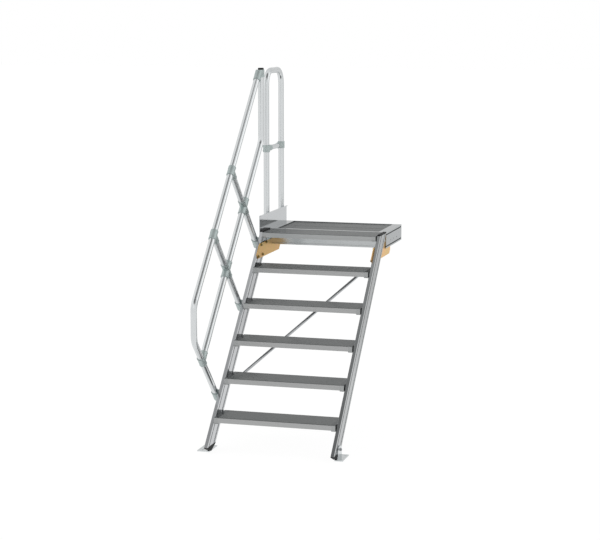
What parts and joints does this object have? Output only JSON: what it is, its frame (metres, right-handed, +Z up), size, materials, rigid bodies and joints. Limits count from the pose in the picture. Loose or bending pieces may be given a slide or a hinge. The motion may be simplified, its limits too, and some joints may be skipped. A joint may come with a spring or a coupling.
{
  "type": "platform stair",
  "caption": "Straight metal stair with a small top platform, ribbed treads between two grooved stringers, and a tubular handrail with a guard hoop on one side.",
  "frame": {"origin": "centre of the rear beam's rear face, which stands against the wall or edge it serves", "axes": "+Z up, +Y in the climbing direction, +X to the right of a person who climbs"},
  "size_m": [0.952, 1.9602, 2.367],
  "materials": {
    "stringer": "extruded, mill finish with a satin sheen",
    "plastic": "black moulded plastic",
    "bracket": "plain aluminium angle",
    "tread": "dark ribbed extrusion",
    "casting": "dark cast end piece",
    "platform_frame": "extruded, mill finish",
    "gusset": "steel with a yellow passivated zinc coating",
    "tube": "drawn tube with a bright finish",
    "connector": "cast aluminium, slightly green grey"
  },
  "bodies": {
    "root": {"stringer_left": "stringer", "stringer_right": "stringer", "top_cap_left": "plastic", "top_cap_right": "plastic", "shoe_left": "plastic", "shoe_right": "plastic", "foot_bracket_left": "bracket", "foot_bracket_right": "bracket", "tread_1": "tread", "tread_2": "tread", "tread_3": "tread", "tread_4": "tread", "tread_5": "tread", "tread_ends_left": "casting", "tread_ends_right": "casting", "diagonal_brace": "stringer", "front_beam": "platform_frame", "side_member_left": "platform_frame", "side_member_right": "platform_frame", "cross_bar": "platform_frame", "rear_beam": "platform_frame", "deck_plank_front": "tread", "deck_plank_middle": "tread", "deck_plank_rear": "tread", "gusset_left": "gusset", "gusset_right": "gusset", "toe_board": "platform_frame", "top_rail": "tube", "middle_rail": "tube", "upper_post": "tube", "lower_post": "tube", "top_connector": "connector", "rail_tees": "connector", "rail_crosses": "connector", "lower_joint": "connector", "post_sockets": "connector", "rail_plug": "plastic", "guard_hoop": "tube", "knee_rail": "tube", "knee_tees": "connector", "hoop_sockets": "connector"}
  },
  "joints": []
}
